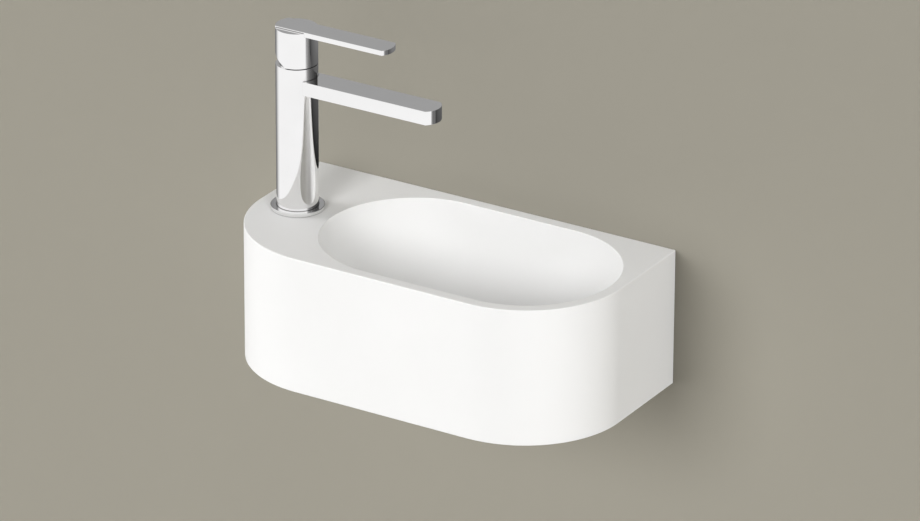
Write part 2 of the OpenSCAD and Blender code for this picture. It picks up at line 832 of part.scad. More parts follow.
module disc_carrier() {
    socket_r = ball_r + free_gap;
    color("dodgerblue") at_tap() difference() {
        translate([-disc_travel / 2, 0, 0]) rod(moving_disc_d / 2, carrier_z, carrier_t);
        rod(socket_r, ball_z - ball_r - seat_gap, carrier_t);
    }
}

// The relief is the wedge cut out of the head's lower rear edge
module relief_wedge() {
    reach = column_d;
    rotate([90, 0, 0]) translate([0, 0, -reach]) linear_extrude(2 * reach)
        polygon([[0, head_z], [0, head_z - over], [-reach, head_z - over],
                 [-reach, head_z + reach * tan(relief_deg)]]);
}

module lever_handle() {
    color("silver") at_tap() difference() {
        union() {
            rod(column_r, head_z, head_h);
            translate([0, 0, lever_z]) linear_extrude(lever_t) {
                bar_plan(lever_l, lever_w, lever_tip_r);
                intersection() {
                    circle(r = column_r);
                    translate([-column_r, -lever_w / 2]) square([column_r, lever_w]);
                }
            }
        }
        rod(head_in_r, head_z - over, ceiling_z - head_z + over);
        relief_wedge();
        block([-spindle_t / 2 - run_gap / 2, -spindle_w / 2 - run_gap / 2, ceiling_z - over],
              [spindle_t / 2 + run_gap / 2, spindle_w / 2 + run_gap / 2, spindle_top_z + free_gap]);
        translate([0, 0, grub_z]) rotate([0, -90, 0]) cylinder(r = grub_d / 2 + seat_gap / 2, h = column_d);
        translate([screw_cap_l - column_r, 0, grub_z]) rotate([0, -90, 0])
            cylinder(r = screw_cap_d / 2 + seat_gap / 2, h = column_r);
    }
}

module spindle() {
    bar_drop = 3;
    bar_z = pivot_z - bar_drop;
    color("goldenrod") at_tap() difference() {
        union() {
            block([-spindle_t / 2, -spindle_w / 2, bar_z], [spindle_t / 2, spindle_w / 2, spindle_top_z]);
            rod(neck_r, ball_z, bar_z - ball_z + over);
            translate([0, 0, ball_z]) sphere(r = ball_r);
        }
        translate([0, spindle_w, pivot_z]) rotate([90, 0, 0])
            cylinder(r = pin_d / 2 + run_gap / 2, h = 2 * spindle_w);
    }
}

// Grub screw with a hexagonal socket for its key
module grub_screw() {
    key_af = 2;
    key_depth = 2.5;
    screw_l = column_r - screw_cap_l - spindle_t / 2 - free_gap;
    color("gray") at_tap() translate([-spindle_t / 2, 0, grub_z]) rotate([0, -90, 0]) difference() {
        cylinder(r = grub_d / 2, h = screw_l);
        hexagon(key_af, screw_l - key_depth, key_depth + over);
    }
}

module screw_cap() {
    cap_inset = 0.25;
    color("silver") at_tap() translate([screw_cap_l - column_r, 0, grub_z]) rotate([0, -90, 0])
        cylinder(r = screw_cap_d / 2, h = screw_cap_l - cap_inset);
}

basin_body();
hanger_bolts();
bolt_sleeves();
bolt_washers();
bolt_nuts();
waste_body();
waste_top_gasket();
waste_under_gasket();
waste_slip_washer();
waste_nut();
waste_cap();
waste_cap_oring();
tap_body();
base_ring();
base_oring();
fixing_stud();
stud_gasket();
stud_washer();
stud_nut();
aerator_housing();
aerator_insert();
aerator_seal();
cartridge_housing();
cartridge_base();
cartridge_seals();
fixed_disc();
retaining_nut();
cover_dome();
cartridge_rotor();
pivot_pin();
moving_disc();
disc_carrier();
lever_handle();
spindle();
grub_screw();
screw_cap();
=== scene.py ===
"""Looks of the wall-hung washbasin with its mixer tap. Lengths are in millimetres until a mesh is made."""
import json
import math

import bmesh
import bpy
from mathutils import Matrix, Vector


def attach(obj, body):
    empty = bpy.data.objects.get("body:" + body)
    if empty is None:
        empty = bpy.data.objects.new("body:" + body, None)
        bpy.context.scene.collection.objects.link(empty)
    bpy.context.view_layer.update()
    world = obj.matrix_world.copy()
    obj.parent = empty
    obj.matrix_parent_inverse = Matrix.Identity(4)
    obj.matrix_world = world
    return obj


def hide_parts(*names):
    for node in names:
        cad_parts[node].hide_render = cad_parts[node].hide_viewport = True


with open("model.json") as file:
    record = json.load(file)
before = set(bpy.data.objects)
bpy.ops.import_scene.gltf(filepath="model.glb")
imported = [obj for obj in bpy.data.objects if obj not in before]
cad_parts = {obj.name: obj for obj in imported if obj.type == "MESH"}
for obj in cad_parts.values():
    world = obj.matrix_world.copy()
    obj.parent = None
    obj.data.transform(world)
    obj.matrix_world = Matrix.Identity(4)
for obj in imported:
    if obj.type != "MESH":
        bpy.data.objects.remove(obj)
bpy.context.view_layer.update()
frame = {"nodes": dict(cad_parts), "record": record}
nodes = frame["nodes"]
MM = 0.001

# Sizes of the basin, as in the CAD source
BASIN_W, BASIN_D, DECK_Z, BASE_Z = 345.0, 180.0, 60.0, -60.0
CORNER_R, REAR_CORNER_R, SKIRT_T, BACK_T, DECK_T = 90.0, 1.0, 10.0, 10.0, 12.0
BOWL_R, BOWL_Y, BOWL_LEFT_X, BOWL_RIGHT_X, BOWL_DEPTH = 80.0, -90.0, -21.5, 82.5, 80.0
WALL_ARC_R, FLOOR_ARC_R, SHELL_T = 160.0, 60.0, 10.0
DRAIN_X, DRAIN_R, RECESS_R = (BOWL_LEFT_X + BOWL_RIGHT_X) / 2, 22.5, 32.4
BOSS_R, BOSS_Z, BOSS_EDGE_R = 36.0, -34.0, 2.0
BOLT_X, BOLT_HOLE_R, PAD_R, PAD_Y, PAD_EDGE_R = 140.0, 6.9, 14.0, -16.0, 1.5
TAP_X, TAP_Y, TAP_HOLE_R = -136.5, -90.0, 17.5

# Sizes of the tap
COLUMN_R, FOOT_Z, COLUMN_TOP_Z = 17.65, 61.4, 189.4
SPOUT_Z, SPOUT_T, SPOUT_L, SPOUT_W, SPOUT_TIP_R = 167.0, 12.0, 137.1, 24.0, 15.0
CARTRIDGE_R, CARTRIDGE_Z, NUT_BORE_R, NUT_BORE_Z = 12.7, 178.5, 14.8, 181.0
FOOT_BORE_R, FOOT_BORE_Z = 13.5, 69.4
INLET_X, INLET_Y, INLET_R, INLET_TOP_Z = -4.5, 5.8, 4.5, 80.4
STUD_AT_X, STUD_BORE_R, STUD_BORE_Z = 9.0, 4.05, 83.4
WAY_Z, WAY_R, RISER_R, RISER_TOP_Z, OUTLET_X = SPOUT_Z + SPOUT_T / 2, 3.4, 2.0, 179.0, 6.0
AERATOR_X, AERATOR_R, AERATOR_H = SPOUT_L - 14, 9.2, 7.4
HEAD_Z, HEAD_H, HEAD_WALL_T, HOLLOW_TOP_Z, RELIEF_DEG = 190.2, 31.0, 2.75, 208.0, 32.0
HEAD_TOP_Z = HEAD_Z + HEAD_H
LEVER_L, LEVER_W, LEVER_T, LEVER_TIP_R = 92.5, 21.0, 4.3, 16.5
LEVER_Z = HEAD_TOP_Z + 1.2 - LEVER_T
SOCKET_X, SOCKET_Y, SOCKET_TOP_Z = 3.05, 3.55, 216.8
SCREW_Z, SCREW_R, SCREW_END_X, CAP_R, CAP_T = 212.5, 2.05, -2.0, 2.55, 3.0
RING_R, RING_T, RING_SEAT_R, RING_BORE_R = 22.75, 3.4, 17.75, 13.8
ORING_IN_R, ORING_OUT_R, ORING_TOP_Z = 19.85, 21.55, 61.7

# Sizes of the fixings and the waste
BOLT_END_Z, BOLT_WALL_L, BOLT_POINT_R = -31.1, 55.0, 0.6
M8_NUT_W, M8_NUT_T, BOLT_NUT_R, STUD_NUT_R = 13.0, 6.5, 4.1, 4.05
STUD_X, STUD_END_Z, STUD_TOP_Z, STUD_NUT_Z, STUD_NUT_L = TAP_X + STUD_AT_X, 4.5, 83.1, 28.5, 15.0
SEAT_Z, FLANGE_Z, WASTE_TAIL_Z, GROOVE_Z, HUB_Z = -23.0, -21.8, -95.6, -49.5, -37.8
FLANGE_R, FLANGE_H, FLANGE_EDGE_R, BORE_R, MOUTH_R = 31.8, 3.4, 0.9, 17.0, 2.6
HUB_R, HUB_H, HUB_BORE_R, ARM_T, ARM_L = 6.5, 8.0, 4.25, 2.5, 18.5
WASTE_NUT_Z, WASTE_NUT_T, WASTE_NUT_W, WASTE_NUT_R = -47.5, 8.0, 52.0, 21.05

# Threads: crest radius, root radius and pitch, and the radius at the start
M8, M8_START_R = (3.99, 3.39, 1.25), 3.2
WOOD_SCREW = (4.99, 3.5, 4.0)
PIPE, PIPE_START_R = (20.95, 19.95, 2.309), 19.9

# Radii of edges that the solids leave sharp
DECK_EDGE_R, BASE_EDGE_R, LIP_EDGE_R, SKIRT_EDGE_R, ROOF_EDGE_R = 0.8, 0.6, 0.3, 1.5, 4.0
FOOT_EDGE_R, COLUMN_EDGE_R, SPOUT_EDGE_R, HEAD_EDGE_R, LEVER_EDGE_R = 0.3, 0.2, 0.15, 0.15, 0.12
RING_LOW_EDGE_R, RING_EDGE_R, HUB_EDGE_R, ARM_EDGE_R = 0.2, 0.5, 0.6, 0.5

# How far a cutter stands past what it cuts
PAST = 1.0


# Mesh tools
def arc(cx, cy, r, start, end, steps):
    """Points on an arc, in degrees from start to end, both ends included."""
    turn = [math.radians(start + (end - start) * i / steps) for i in range(steps + 1)]
    return [(cx + r * math.cos(a), cy + r * math.sin(a)) for a in turn]


def make(name, verts, faces):
    mesh = bpy.data.meshes.new(name)
    mesh.from_pydata([tuple(c * MM for c in v) for v in verts], [], faces)
    mesh.validate()
    obj = bpy.data.objects.new(name, mesh)
    bpy.context.scene.collection.objects.link(obj)
    return obj


def loft(name, loops, closed=False):
    """A closed solid through rings of equally many points, capped at both ends or joined end to end."""
    n = len(loops[0])
    verts = [p for ring in loops for p in ring]
    faces = []
    rings = len(loops) if closed else len(loops) - 1
    for k in range(rings):
        a, b = k * n, (k + 1) % len(loops) * n
        faces += [(a + i, a + (i + 1) % n, b + (i + 1) % n, b + i) for i in range(n)]
    if not closed:
        faces.append(tuple(reversed(range(n))))
        faces.append(tuple((len(loops) - 1) * n + i for i in range(n)))
    obj = make(name, verts, faces)
    bm = bmesh.new()
    bm.from_mesh(obj.data)
    bmesh.ops.recalc_face_normals(bm, faces=bm.faces)
    bm.to_mesh(obj.data)
    bm.free()
    return obj


def turned(profile, at=(0, 0), steps=96):
    """Rings about a vertical axis through (radius, height) points."""
    rings = []
    for r, z in profile:
        rings.append([(at[0] + r * math.cos(2 * math.pi * i / steps),
                       at[1] + r * math.sin(2 * math.pi * i / steps), z) for i in range(steps)])
    return rings


def boolean(target, cutter, how="DIFFERENCE"):
    mod = target.modifiers.new("cut", "BOOLEAN")
    mod.operation, mod.object, mod.solver = how, cutter, "EXACT"
    graph = bpy.context.evaluated_depsgraph_get()
    mesh = bpy.data.meshes.new_from_object(target.evaluated_get(graph))
    target.modifiers.clear()
    old = target.data
    target.data = mesh
    bpy.data.meshes.remove(old)
    bpy.data.objects.remove(cutter)
    return target


def finish_mesh(obj, angle=32):
    """Merges what the cuts left closer than 3 microns, and shades the piece smooth between sharp edges."""
    mesh = obj.data
    bm = bmesh.new()
    bm.from_mesh(mesh)
    bmesh.ops.remove_doubles(bm, verts=bm.verts, dist=3e-6)
    bmesh.ops.dissolve_degenerate(bm, edges=bm.edges, dist=3e-6)
    bmesh.ops.holes_fill(bm, edges=[e for e in bm.edges if e.is_boundary], sides=0)
    bmesh.ops.delete(bm, geom=[e for e in bm.edges if not e.link_faces], context="EDGES")
    bm.to_mesh(mesh)
    bm.free()
    mesh.shade_smooth()
    mesh.set_sharp_from_angle(angle=math.radians(angle))
    mod = obj.modifiers.new("normals", "WEIGHTED_NORMAL")
    mod.keep_sharp, mod.weight = True, 50
    return obj


def rounded_stack(ring, z0, z1, low_r, top_r, steps=4):
    """Rings up a wall whose lower and upper edges are rounded; ring(inset, z) gives each one."""
    low = [ring(low_r - x, z) for x, z in arc(0, z0 + low_r, low_r, -90, 0, steps)]
    return low + [ring(top_r - x, z) for x, z in arc(0, z1 - top_r, top_r, 0, 90, steps)]


def along_y(rings):
    """Turns rings drawn about Z so that their axis is Y, pointing into the wall."""
    return [[(x, z, -y) for x, y, z in ring] for ring in rings]


def moved_x(rings, dx):
    return [[(x + dx, y, z) for x, y, z in ring] for ring in rings]


def placed(obj, x, y, into_wall=False):
    """Moves a mesh that was drawn about Z at the origin, and lays it along +Y where it goes into the wall."""
    if into_wall:
        obj.data.transform(Matrix.Rotation(math.radians(-90), 4, "X"))
    obj.data.transform(Matrix.Translation((x * MM, y * MM, 0)))
    return obj


# Basin
def plan_ring(side, back, z, rear_r):
    """One ring of the basin's outline, drawn in by side from the sides and front, by back from the wall."""
    half = BASIN_W / 2 - side
    front_y = CORNER_R - BASIN_D
    pts = arc(half - rear_r, -back - rear_r, rear_r, 0, 90, 5)
    pts += arc(rear_r - half, -back - rear_r, rear_r, 90, 180, 5)
    pts += arc(CORNER_R - BASIN_W / 2, front_y, CORNER_R - side, 180, 270, 48)
    pts += arc(BASIN_W / 2 - CORNER_R, front_y, CORNER_R - side, 270, 360, 48)
    return [(x, y, z) for x, y in pts]


def bowl_ring(r, z):
    pts = arc(BOWL_RIGHT_X, BOWL_Y, r, -90, 90, 56) + arc(BOWL_LEFT_X, BOWL_Y, r, 90, 270, 56)
    return [(x, y, z) for x, y in pts]


def build_basin():
    body = loft("basin_casting", rounded_stack(
        lambda d, z: plan_ring(d, d / 2, z, REAR_CORNER_R - d), BASE_Z, DECK_Z, BASE_EDGE_R, DECK_EDGE_R))
    lip, roof = SKIRT_EDGE_R, ROOF_EDGE_R
    roof_z = DECK_Z - DECK_T
    quarter = (0, 0.4, 0.8, 1.2, math.pi / 2)
    inside_r = 5
    cavity = [plan_ring(SKIRT_T - lip, BACK_T - lip, BASE_Z - PAST, inside_r)]
    cavity += [plan_ring(SKIRT_T - lip + x, BACK_T - lip + x, z, inside_r) for x, z in
               [(lip * (1 - math.cos(a)), BASE_Z + lip * math.sin(a)) for a in quarter]]
    cavity += [plan_ring(SKIRT_T + roof * (1 - math.cos(a)), BACK_T + roof * (1 - math.cos(a)),
                         roof_z - roof * (1 - math.sin(a)), inside_r) for a in quarter]
    boolean(body, loft("cavity", cavity))

    arc_r = BOWL_DEPTH + SHELL_T - DECK_T
    shell_r = BOWL_R + SHELL_T
    shell = [bowl_ring(shell_r - arc_r + x, roof_z + z) for x, z in arc(0, 0, arc_r, -90, 0, 22)]
    shell.append(bowl_ring(shell_r, roof_z + DECK_T / 2))
    shell = loft("shell", shell)
    trim = loft("trim", [plan_ring(SKIRT_T / 2, BACK_T / 2, z, 3) for z in (BASE_Z, DECK_Z)])
    boolean(shell, trim, "INTERSECT")
    boolean(body, shell, "UNION")
    boss = [(BOSS_R - BOSS_EDGE_R + x, z) for x, z in arc(0, BOSS_Z + BOSS_EDGE_R, BOSS_EDGE_R, -90, 0, 4)]
    boss = [(0.5, BOSS_Z)] + boss + [(BOSS_R, SEAT_Z), (0.5, SEAT_Z)]
    boolean(body, loft("boss", turned(boss, (DRAIN_X, BOWL_Y))), "UNION")
    for side in (-1, 1):
        pad = [(PAD_R - PAD_EDGE_R + x, z) for x, z in arc(0, PAD_Y + PAD_EDGE_R, PAD_EDGE_R, -90, 0, 4)]
        pad = along_y(turned(pad + [(PAD_R, -BACK_T / 2)], steps=64))
        boolean(body, loft("pad", moved_x(pad, side * BOLT_X)), "UNION")

    section = [(BOWL_R + LIP_EDGE_R, DECK_Z + PAST)]
    section += arc(BOWL_R + LIP_EDGE_R, DECK_Z - LIP_EDGE_R, LIP_EDGE_R, 90, 172, 4)
    meet = math.degrees(math.asin((BOWL_DEPTH - FLOOR_ARC_R) / (WALL_ARC_R - FLOOR_ARC_R)))
    floor_x = BOWL_R - WALL_ARC_R + (WALL_ARC_R - FLOOR_ARC_R) * math.cos(math.radians(meet))
    section += arc(BOWL_R - WALL_ARC_R, DECK_Z, WALL_ARC_R, -0.3, -meet, 9)
    section += arc(floor_x, DECK_Z - BOWL_DEPTH + FLOOR_ARC_R, FLOOR_ARC_R, -meet, -90, 30)[1:]
    boolean(body, loft("bowl", [bowl_ring(r, z) for r, z in reversed(section)]))
    drain = [(DRAIN_R, BOSS_Z - 6), (DRAIN_R, SEAT_Z - 1), (DRAIN_R + 0.7, SEAT_Z - 0.2)]
    drain += [(DRAIN_R + 1, SEAT_Z), (RECESS_R, SEAT_Z), (RECESS_R, 10)]
    boolean(body, loft("drain", turned(drain, (DRAIN_X, BOWL_Y))))
    tap_hole = [(TAP_HOLE_R, DECK_Z - 20), (TAP_HOLE_R, DECK_Z + 2)]
    boolean(body, loft("tap_hole", turned(tap_hole, (TAP_X, TAP_Y))))
    for side in (-1, 1):
        hole = along_y(turned([(BOLT_HOLE_R, PAD_Y - 2), (BOLT_HOLE_R, PAST)], steps=64))
        boolean(body, loft("hole", moved_x(hole, side * BOLT_X)))
    return finish_mesh(body)


basin = build_basin()


# Tap
def bar_ring(length, width, tip_r, tail, z, inset):
    """One ring of a flat bar that leaves the column's axis for +X and ends in an arc that meets its sides at
    corners. tail is the radius of its round rear end, or zero where it starts square inside the column."""
    half = width / 2 - inset
    if tail:
        turn = math.degrees(math.asin(half / (tail - inset)))
        pts = arc(0, 0, tail - inset, 180 - turn, 180 + turn, 16)
    else:
        pts = [(0, half), (0, -half)]
    turn = math.degrees(math.asin(half / (tip_r - inset)))
    pts += arc(length - tip_r, 0, tip_r - inset, -turn, turn, 28)
    return [(x, y, z) for x, y in pts]


def rod_rings(r, z0, z1, low_r=0.0, top_r=0.0, steps=96, at=(0, 0)):
    profile = []
    if low_r:
        profile += [(r - low_r + x, z) for x, z in arc(0, z0 + low_r, low_r, -90, 0, 4)]
    else:
        profile.append((r, z0))
    if top_r:
        profile += [(r - top_r + x, z) for x, z in arc(0, z1 - top_r, top_r, 0, 90, 4)]
    else:
        profile.append((r, z1))
    return turned(profile, at, steps)


def cut_rod(target, r, z0, z1, at=(0, 0), steps=96):
    return boolean(target, loft("cut", rod_rings(r, z0, z1, steps=steps, at=at)))


def cut_along_x(target, r, x0, x1, z, steps, lead=0.0):
    """Cuts a hole along X through the tap's axis; lead turns its points by a share of a step."""
    turn = [2 * math.pi * (i + lead) / steps for i in range(steps)]
    return boolean(target, loft("cut", [[(x, r * math.cos(a), z + r * math.sin(a)) for a in turn]
                                        for x in (x0, x1)]))


def build_tap():
    body = loft("tap_casting", rod_rings(COLUMN_R, FOOT_Z, COLUMN_TOP_Z, FOOT_EDGE_R, COLUMN_EDGE_R, 192))
    spout = rounded_stack(lambda d, z: bar_ring(SPOUT_L, SPOUT_W, SPOUT_TIP_R, 0, z, d),
                          SPOUT_Z, SPOUT_Z + SPOUT_T, SPOUT_EDGE_R, SPOUT_EDGE_R)
    boolean(body, loft("spout", spout), "UNION")
    mouth_z = COLUMN_TOP_Z + 1.6
    cut_rod(body, CARTRIDGE_R, CARTRIDGE_Z, mouth_z, steps=128)
    cut_rod(body, NUT_BORE_R, NUT_BORE_Z, mouth_z, steps=128)
    cut_rod(body, FOOT_BORE_R, FOOT_Z - PAST, FOOT_BORE_Z)
    bore_start_z, riser_start_z, way_start_x = 69, 79, 4
    for y in (-INLET_Y, INLET_Y):
        cut_rod(body, INLET_R, bore_start_z, INLET_TOP_Z, (INLET_X, y), 48)
        cut_rod(body, RISER_R, riser_start_z, RISER_TOP_Z, (INLET_X, y), 32)
    cut_rod(body, STUD_BORE_R, bore_start_z, STUD_BORE_Z, (STUD_AT_X, 0), 48)
    cut_rod(body, AERATOR_R, SPOUT_Z - PAST, SPOUT_Z + AERATOR_H, (AERATOR_X, 0))
    cut_along_x(body, WAY_R, way_start_x, AERATOR_X, WAY_Z, 32, 0.5)
    cut_rod(body, RISER_R, WAY_Z, RISER_TOP_Z, (OUTLET_X, 0), 32)
    return finish_mesh(placed(body, TAP_X, TAP_Y))


def build_handle():
    head = loft("handle_casting", rod_rings(COLUMN_R, HEAD_Z, HEAD_TOP_Z, HEAD_EDGE_R, HEAD_EDGE_R, 192))
    lever = rounded_stack(lambda d, z: bar_ring(LEVER_L, LEVER_W, LEVER_TIP_R, COLUMN_R, z, d),
                          LEVER_Z, LEVER_Z + LEVER_T, LEVER_EDGE_R, LEVER_EDGE_R)
    boolean(head, loft("lever", lever), "UNION")
    cut_rod(head, COLUMN_R - HEAD_WALL_T, HEAD_Z - PAST, HOLLOW_TOP_Z, steps=128)
    reach = 36.0
    rise = reach * math.tan(math.radians(RELIEF_DEG))
    side = [(0, HEAD_Z), (0, HEAD_Z - PAST), (-reach, HEAD_Z - PAST), (-reach, HEAD_Z + rise)]
    boolean(head, loft("relief", [[(x, y, z) for x, z in side] for y in (reach, -reach)]))
    block = [(-SOCKET_X, -SOCKET_Y), (SOCKET_X, -SOCKET_Y), (SOCKET_X, SOCKET_Y), (-SOCKET_X, SOCKET_Y)]
    socket = [[(x, y, z) for x, y in block] for z in (HOLLOW_TOP_Z - PAST, SOCKET_TOP_Z)]
    boolean(head, loft("socket", socket))
    outside_x = -19
    cut_along_x(head, SCREW_R, outside_x, SCREW_END_X, SCREW_Z, 48)
    cut_along_x(head, CAP_R, outside_x, CAP_T - COLUMN_R, SCREW_Z, 48)
    return finish_mesh(placed(head, TAP_X, TAP_Y))


def build_ring():
    ring = loft("ring_casting", rod_rings(RING_R, DECK_Z, DECK_Z + RING_T, RING_LOW_EDGE_R, RING_EDGE_R, 160))
    above_z, below_z = DECK_Z + 10, DECK_Z - PAST
    cut_rod(ring, RING_SEAT_R, FOOT_Z, above_z, steps=160)
    cut_rod(ring, RING_BORE_R, below_z, above_z)
    groove = [(ORING_OUT_R, ORING_TOP_Z), (ORING_OUT_R, below_z),
              (ORING_IN_R, below_z), (ORING_IN_R, ORING_TOP_Z)]
    boolean(ring, loft("groove", turned(groove, steps=96), closed=True))
    return finish_mesh(placed(ring, TAP_X, TAP_Y))


# Threads and nuts
# The form of a thread along one pitch: share of the pitch, share of the depth
METRIC = [(0.0, 0.0), (0.12, 0.0), (0.44, 1.0), (0.62, 1.0)]
WOOD = [(0.0, 0.0), (0.5, 0.0), (0.72, 1.0), (0.8, 1.0)]
THREAD_SHARP_DEG = 50


def thread(name, size, z0, z1, ends, slopes=(1.2, 1.2), form=METRIC, steps=40):
    """A closed screw thread about Z. Its radius at each end is ends, growing inwards by slopes."""
    crest, root, pitch = size
    per_turn = len(form)
    rows = per_turn * (math.ceil((z1 - z0) / pitch) + 2) + 1
    verts = []
    for k in range(rows):
        phase, rise = form[k % per_turn]
        for i in range(steps):
            z = z0 + (k // per_turn + phase + i / steps - 1) * pitch
            z = min(max(z, z0), z1)
            r = min(root + rise * (crest - root),
                    ends[0] + slopes[0] * (z - z0), ends[1] + slopes[1] * (z1 - z))
            a = 2 * math.pi * i / steps
            verts.append((r * math.cos(a), r * math.sin(a), z))
    faces = []
    for k in range(rows - 1):
        for i in range(steps):
            j, up = (i + 1, 0) if i < steps - 1 else (0, per_turn)
            if k + 1 + up < rows:
                low, high = k * steps, (k + 1) * steps
                faces.append((low + i, low + up * steps + j, high + up * steps + j, high + i))
    return join_ends(make(name, verts, faces))


def join_ends(obj):
    bm = bmesh.new()
    bm.from_mesh(obj.data)
    bmesh.ops.remove_doubles(bm, verts=bm.verts, dist=1e-6)
    bmesh.ops.dissolve_degenerate(bm, edges=bm.edges, dist=1e-6)
    loose = [v for v in bm.verts if not v.link_faces]
    bmesh.ops.delete(bm, geom=loose, context="VERTS")
    bmesh.ops.holes_fill(bm, edges=[e for e in bm.edges if e.is_boundary], sides=0)
    bmesh.ops.recalc_face_normals(bm, faces=bm.faces)
    bm.to_mesh(obj.data)
    bm.free()
    return obj


def hex_nut(name, across, bore, z0, z1):
    """A hexagon nut about Z with its corners turned off at 30 degrees and its bore chamfered."""
    far = across / 2 / math.cos(math.radians(30))
    ring = [(far * math.cos(math.radians(60 * i)), far * math.sin(math.radians(60 * i))) for i in range(6)]
    nut = loft(name, [[(x, y, z) for x, y in ring] for z in (z0, z1)])
    wide, flat = far + 0.2, across / 2 * 0.97
    drop = (wide - flat) * math.tan(math.radians(30))
    cone = [(flat, z0), (wide, z0 + drop), (wide, z1 - drop), (flat, z1)]
    off_centre = (0.003, 0.002)
    boolean(nut, loft("cone", turned(cone, off_centre, 100)), "INTERSECT")
    lead, past = min(0.8, bore * 0.1), 0.5
    wide = bore + lead + past
    cut = [(wide, z0 - past), (bore, z0 + lead), (bore, z1 - lead), (wide, z1 + past)]
    return boolean(nut, loft("bore", turned(cut)))


def joined(name, pieces):
    """One object from several, with their meshes put together."""
    bm = bmesh.new()
    for piece in pieces:
        bm.from_mesh(piece.data)
    mesh = bpy.data.meshes.new(name)
    bm.to_mesh(mesh)
    bm.free()
    for piece in pieces:
        bpy.data.objects.remove(piece)
    obj = bpy.data.objects.new(name, mesh)
    bpy.context.scene.collection.objects.link(obj)
    return obj


def build_bolts():
    both = []
    m8_root, wood_root = M8[1], WOOD_SCREW[1]
    overlap, point_slopes = 0.4, (3, 0.42)
    for side in (-1, 1):
        bolt = thread("machine", M8, BOLT_END_Z, overlap, (M8_START_R, m8_root))
        wood = thread("wood", WOOD_SCREW, 0, BOLT_WALL_L, (wood_root, BOLT_POINT_R), point_slopes, WOOD)
        boolean(bolt, wood, "UNION")
        both.append(placed(bolt, side * BOLT_X, 0, into_wall=True))
    return finish_mesh(joined("hanger_screws", both), THREAD_SHARP_DEG)


def build_nuts():
    both = []
    nut_z = BOLT_END_Z + 5
    for side in (-1, 1):
        nut = hex_nut("nut", M8_NUT_W, BOLT_NUT_R, nut_z, nut_z + M8_NUT_T)
        both.append(placed(nut, side * BOLT_X, 0, into_wall=True))
    return finish_mesh(joined("wall_nuts", both))


def build_waste():
    """Flange, threaded tail and the spider that holds the cap, in one casting."""
    crest, root, _ = PIPE
    tail = thread("waste_casting", PIPE, WASTE_TAIL_Z, GROOVE_Z, (PIPE_START_R, root), steps=128)
    upper = thread("upper", PIPE, GROOVE_Z + 2, SEAT_Z - 2, (root, root), steps=128)
    neck = loft("neck", turned([(root, GROOVE_Z - 1), (root, SEAT_Z - 1)], steps=128))
    boolean(tail, upper, "UNION")
    boolean(tail, neck, "UNION")
    top = SEAT_Z + FLANGE_H
    flange = [(crest, SEAT_Z - 2.2), (crest, FLANGE_Z)]
    flange += [(FLANGE_R - 0.3, FLANGE_Z), (FLANGE_R, FLANGE_Z + 0.3)]
    flange += [(FLANGE_R - FLANGE_EDGE_R + x, z) for x, z in
               arc(0, top - FLANGE_EDGE_R, FLANGE_EDGE_R, 0, 90, 5)] + [(20, top)]
    boolean(tail, loft("flange", turned(flange, steps=128)), "UNION")
    mouth = [(BORE_R, WASTE_TAIL_Z - PAST), (BORE_R, top - MOUTH_R)]
    mouth += [(BORE_R + MOUTH_R - x, z) for x, z in arc(0, top - MOUTH_R, MOUTH_R, 0, 70, 6)]
    mouth += [(BORE_R + MOUTH_R - 0.2, top + PAST)]
    boolean(tail, loft("mouth", turned(mouth, steps=128)))
    hub = loft("hub", rod_rings(HUB_R, HUB_Z, HUB_Z + HUB_H, HUB_EDGE_R, HUB_EDGE_R))
    half = ARM_T / 2
    for turn in (0, 120, 240):
        arm = rounded_stack(lambda d, z: [(x, y, z) for x, y in ((0, d - half), (ARM_L, d - half),
                                                                 (ARM_L, half - d), (0, half - d))],
                            HUB_Z + 2, HUB_Z + 6, ARM_EDGE_R, ARM_EDGE_R, 3)
        arm = loft("arm", arm)
        arm.data.transform(Matrix.Rotation(math.radians(turn), 4, "Z"))
        boolean(hub, arm, "UNION")
    cut_rod(hub, HUB_BORE_R, HUB_Z - PAST, HUB_Z + HUB_H + PAST)
    boolean(tail, hub, "UNION")
    return finish_mesh(placed(tail, DRAIN_X, BOWL_Y))


tap = build_tap()
handle = build_handle()
base_ring = build_ring()
stud = thread("clamp_screw", M8, STUD_END_Z, STUD_TOP_Z, (M8_START_R, M8_START_R))
stud = finish_mesh(placed(stud, STUD_X, TAP_Y), THREAD_SHARP_DEG)
stud_nut = hex_nut("clamp_nut", M8_NUT_W, STUD_NUT_R, STUD_NUT_Z, STUD_NUT_Z + STUD_NUT_L)
stud_nut = finish_mesh(placed(stud_nut, STUD_X, TAP_Y))
waste_nut = hex_nut("tail_nut", WASTE_NUT_W, WASTE_NUT_R, WASTE_NUT_Z, WASTE_NUT_Z + WASTE_NUT_T)
waste_nut = finish_mesh(placed(waste_nut, DRAIN_X, BOWL_Y))
PIECES = [(basin, "basin", "basin_body", "basin"), (tap, "basin", "tap_body", "chrome"),
          (handle, "handle", "lever_handle", "chrome"), (base_ring, "basin", "base_ring", "chrome"),
          (build_bolts(), "basin", "hanger_bolts", "zinc_steel"),
          (build_nuts(), "basin", "bolt_nuts", "zinc_steel"),
          (build_waste(), "basin", "waste_body", "chrome"), (waste_nut, "basin", "waste_nut", "brass"),
          (stud, "basin", "fixing_stud", "zinc_steel"), (stud_nut, "basin", "stud_nut", "brass")]
for piece, body, node, slot in PIECES:
    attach(piece, body)
    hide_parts(node)


# The other nodes' edges
BEVELS = {"waste_cap": 0.5, "waste_slip_washer": 0.3, "waste_under_gasket": 0.5, "waste_top_gasket": 0.25,
          "bolt_sleeves": 0.35, "bolt_washers": 0.25, "stud_gasket": 0.4, "stud_washer": 0.3,
          "aerator_housing": 0.2, "aerator_insert": 0.12, "retaining_nut": 0.25, "cover_dome": 0.15,
          "screw_cap": 0.3, "spindle": 0.3}


